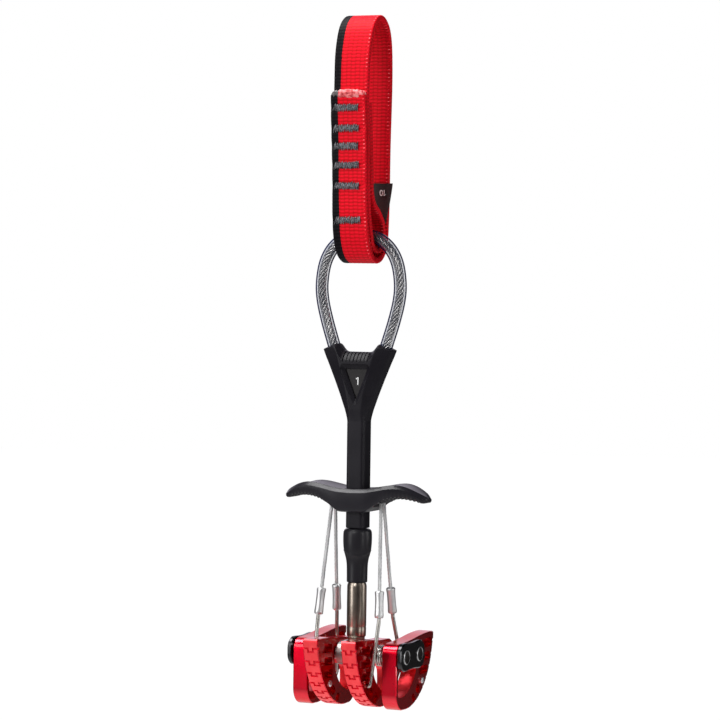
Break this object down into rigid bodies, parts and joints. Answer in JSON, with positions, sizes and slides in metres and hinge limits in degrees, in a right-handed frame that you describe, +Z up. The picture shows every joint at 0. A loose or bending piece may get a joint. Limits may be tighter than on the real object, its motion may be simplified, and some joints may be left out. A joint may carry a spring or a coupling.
{
  "type": "spring loaded camming device",
  "caption": "Climbing protection: sprung cam lobes on two axles, drawn in by a sliding trigger on a cable stem with a thumb loop and a sewn sling.",
  "frame": {"origin": "inside top of the sling's loop, where a carabiner bears", "axes": "+X along the two axles, +Y to the back of the sling, +Z up from the cams to the sling's loop"},
  "size_m": [0.062, 0.051, 0.2743],
  "materials": {
    "webbing": "woven nylon tape, red with a black edge stripe",
    "label": "woven label tape",
    "thread": "bar tacked bonded thread",
    "clear_tube": "clear extruded tube",
    "cable_steel": "stranded and drawn steel",
    "ferrule_steel": "crimped, bright",
    "axle_steel": "turned",
    "spring_steel": "drawn spring wire",
    "swaged_steel": "swaged, warm grey",
    "black_metal": "black anodised",
    "red_metal": "red anodised, machined",
    "black_plastic": "moulded, satin",
    "size_plate": "moulded plate with a printed number"
  },
  "bodies": {
    "sling": {"sling_webbing": "webbing", "sling_label": "label", "bar_tack_1": "thread", "bar_tack_2": "thread", "bar_tack_3": "thread", "bar_tack_4": "thread", "bar_tack_5": "thread", "bar_tack_6": "thread"},
    "stem": {"loop_tube": "clear_tube", "stem_cable": "cable_steel", "handle": "black_plastic", "size_plate": "size_plate", "stem_boot": "black_plastic", "stem_terminal": "swaged_steel", "axle_front": "axle_steel", "axle_back": "axle_steel", "end_plate_left": "black_metal", "end_plate_right": "black_metal", "spacer_front_left": "axle_steel", "spacer_front_right": "axle_steel", "spacer_back_left": "axle_steel", "spacer_back_right": "axle_steel", "spring_inner_left": "spring_steel", "spring_inner_right": "spring_steel", "spring_outer_left": "spring_steel", "spring_outer_right": "spring_steel"},
    "trigger": {"trigger_bar": "black_plastic"},
    "cam_inner_left": {"cam_inner_left": "red_metal"},
    "cam_inner_right": {"cam_inner_right": "red_metal"},
    "cam_outer_left": {"cam_outer_left": "red_metal"},
    "cam_outer_right": {"cam_outer_right": "red_metal"},
    "wire_inner_left": {"rod_inner_left": "cable_steel", "ferrule_inner_left": "ferrule_steel", "trigger_cable_inner_left": "cable_steel"},
    "wire_inner_right": {"rod_inner_right": "cable_steel", "ferrule_inner_right": "ferrule_steel", "trigger_cable_inner_right": "cable_steel"},
    "wire_outer_left": {"rod_outer_left": "cable_steel", "ferrule_outer_left": "ferrule_steel", "trigger_cable_outer_left": "cable_steel"},
    "wire_outer_right": {"rod_outer_right": "cable_steel", "ferrule_outer_right": "ferrule_steel", "trigger_cable_outer_right": "cable_steel"}
  },
  "joints": [
    {"name": "stem_swing", "type": "hinge", "parent": "sling", "child": "stem", "pos_m": [0, 0, -0.0846], "axis": [1, 0, 0], "range_deg": [-80, 80]},
    {"name": "trigger_slide", "type": "slide", "parent": "stem", "child": "trigger", "axis": [0, 0, 1], "range_m": [0, 0.027], "stiffness_N_per_m": 300, "springref_m": -0.02},
    {"name": "cam_turn_inner_left", "type": "hinge", "parent": "stem", "child": "cam_inner_left", "pos_m": [0, 0.0065, -0.2506], "axis": [1, 0, 0], "range_deg": [-71.46, 0], "deforming": ["spring_inner_left"]},
    {"name": "wire_swing_inner_left", "type": "hinge", "parent": "cam_inner_left", "child": "wire_inner_left", "pos_m": [0, -0.0139, -0.262], "axis": [1, 0, 0], "range_deg": [0, 73.86]},
    {"name": "cam_turn_inner_right", "type": "hinge", "parent": "stem", "child": "cam_inner_right", "pos_m": [0, 0.0065, -0.2506], "axis": [1, 0, 0], "range_deg": [-71.46, 0], "deforming": ["spring_inner_right"]},
    {"name": "wire_swing_inner_right", "type": "hinge", "parent": "cam_inner_right", "child": "wire_inner_right", "pos_m": [0, -0.0139, -0.262], "axis": [1, 0, 0], "range_deg": [0, 73.86]},
    {"name": "cam_turn_outer_left", "type": "hinge", "parent": "stem", "child": "cam_outer_left", "pos_m": [0, -0.0065, -0.2506], "axis": [1, 0, 0], "range_deg": [0, 71.46], "deforming": ["spring_outer_left"]},
    {"name": "wire_swing_outer_left", "type": "hinge", "parent": "cam_outer_left", "child": "wire_outer_left", "pos_m": [0, 0.0139, -0.262], "axis": [1, 0, 0], "range_deg": [-73.86, 0]},
    {"name": "cam_turn_outer_right", "type": "hinge", "parent": "stem", "child": "cam_outer_right", "pos_m": [0, -0.0065, -0.2506], "axis": [1, 0, 0], "range_deg": [0, 71.46], "deforming": ["spring_outer_right"]},
    {"name": "wire_swing_outer_right", "type": "hinge", "parent": "cam_outer_right", "child": "wire_outer_right", "pos_m": [0, 0.0139, -0.262], "axis": [1, 0, 0], "range_deg": [-73.86, 0]}
  ],
  "couplings": [
    {"joint": "cam_turn_inner_left", "follows": "trigger_slide", "rad_per_m": -46},
    {"joint": "wire_swing_inner_left", "follows": "trigger_slide", "rad_per_m": 47.506},
    {"joint": "cam_turn_inner_right", "follows": "trigger_slide", "rad_per_m": -46},
    {"joint": "wire_swing_inner_right", "follows": "trigger_slide", "rad_per_m": 47.506},
    {"joint": "cam_turn_outer_left", "follows": "trigger_slide", "rad_per_m": 46},
    {"joint": "wire_swing_outer_left", "follows": "trigger_slide", "rad_per_m": -47.506},
    {"joint": "cam_turn_outer_right", "follows": "trigger_slide", "rad_per_m": 46},
    {"joint": "wire_swing_outer_right", "follows": "trigger_slide", "rad_per_m": -47.506}
  ]
}
